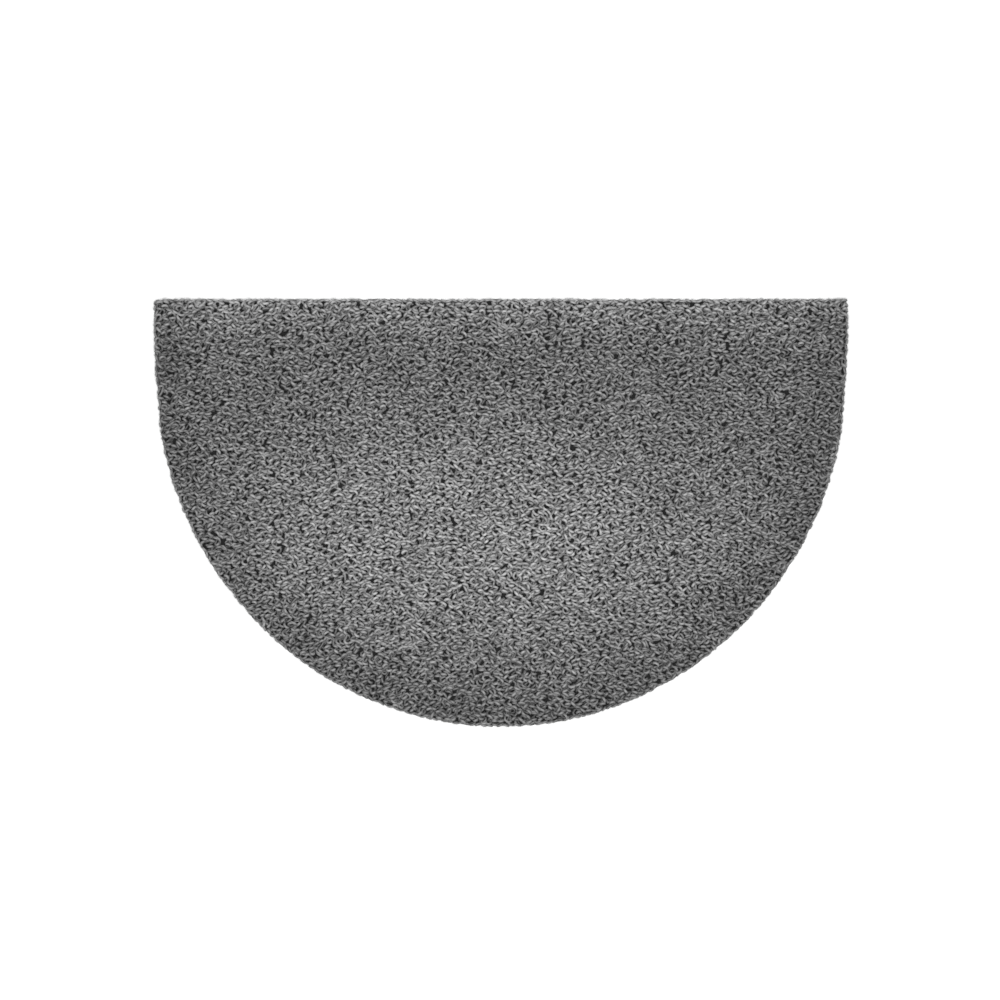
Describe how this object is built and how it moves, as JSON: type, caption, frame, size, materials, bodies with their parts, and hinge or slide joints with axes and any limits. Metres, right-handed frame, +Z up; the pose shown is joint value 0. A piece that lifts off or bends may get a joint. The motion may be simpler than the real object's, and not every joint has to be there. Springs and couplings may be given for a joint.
{
  "type": "half round doormat",
  "caption": "Half round entrance doormat of tangled grey filament loops, with one straight edge, lying flat on its underside.",
  "frame": {"origin": "centre of the bounding box, at the height of the flat underside that rests on the floor", "axes": "+X along the straight edge, +Y towards the straight edge, +Z up out of the pile"},
  "size_m": [0.6498, 0.4003, 0.012],
  "materials": {
    "grey_filament": "extruded filament loops, dull to satin grey with dark gaps between the loops"
  },
  "bodies": {
    "root": {"loop_mat": "grey_filament"}
  },
  "joints": []
}
